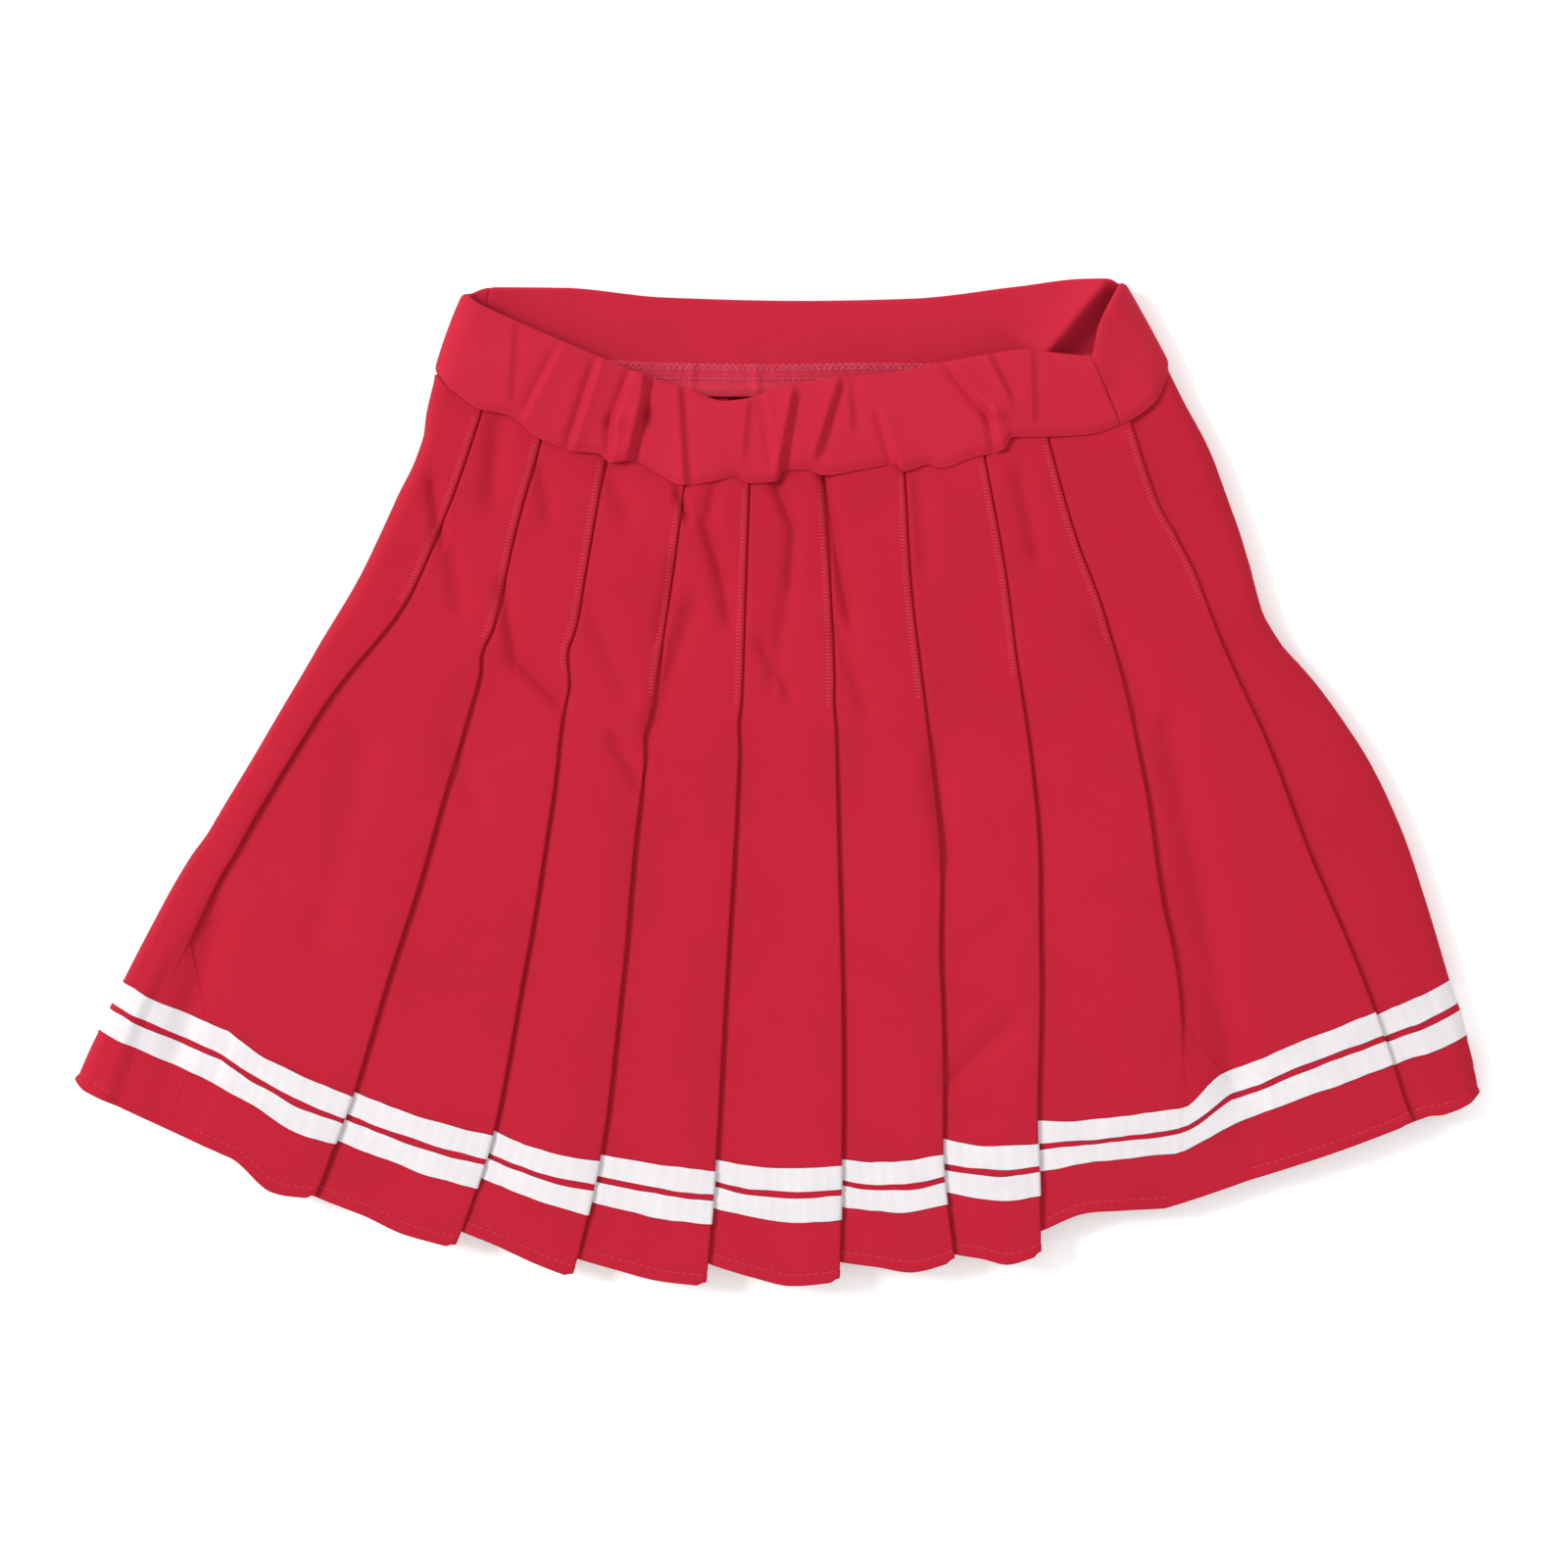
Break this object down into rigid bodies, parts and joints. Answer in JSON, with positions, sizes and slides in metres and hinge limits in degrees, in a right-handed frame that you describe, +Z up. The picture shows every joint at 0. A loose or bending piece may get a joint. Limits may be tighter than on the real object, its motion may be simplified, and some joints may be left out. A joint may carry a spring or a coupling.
{
  "type": "pleated cheer skirt",
  "caption": "Pleated pull-on cheer skirt in red cloth with a folded elastic waistband and two white ribbons above the hem, lying flat.",
  "frame": {"origin": "middle of the bottom of the box round the skirt as it lies flat on its back", "axes": "+Z up off the surface it lies on, +Y from the hem towards the waist, +X across to the right as seen from above"},
  "size_m": [0.573, 0.4088, 0.0184],
  "materials": {
    "cloth": "matt polyester double knit",
    "ribbon": "satin polyester ribbon with a soft sheen",
    "elastic": "ribbed woven elastic",
    "interfacing": "felted interfacing",
    "serged_edge": "cloth edge overlocked with lighter thread"
  },
  "bodies": {
    "root": {"front_panel_01": "cloth", "front_panel_02": "cloth", "front_panel_03": "cloth", "front_panel_04": "cloth", "front_panel_05": "cloth", "front_panel_06": "cloth", "front_panel_07": "cloth", "front_panel_08": "cloth", "front_panel_09": "cloth", "front_panel_10": "cloth", "front_panel_11": "cloth", "back_panel_01": "cloth", "back_panel_02": "cloth", "back_panel_03": "cloth", "back_panel_04": "cloth", "back_panel_05": "cloth", "back_panel_06": "cloth", "back_panel_07": "cloth", "back_panel_08": "cloth", "back_panel_09": "cloth", "back_panel_10": "cloth", "back_panel_11": "cloth", "front_ribbon_upper": "ribbon", "front_ribbon_lower": "ribbon", "back_ribbon_upper": "ribbon", "back_ribbon_lower": "ribbon", "waistband_gathered_casing": "cloth", "waistband_smooth_casing": "cloth", "waist_elastic": "elastic", "waistband_interfacing": "interfacing", "front_waist_seam_allowance": "serged_edge", "back_waist_seam_allowance": "serged_edge", "left_side_seam_allowance": "serged_edge", "right_side_seam_allowance": "serged_edge"}
  },
  "joints": []
}
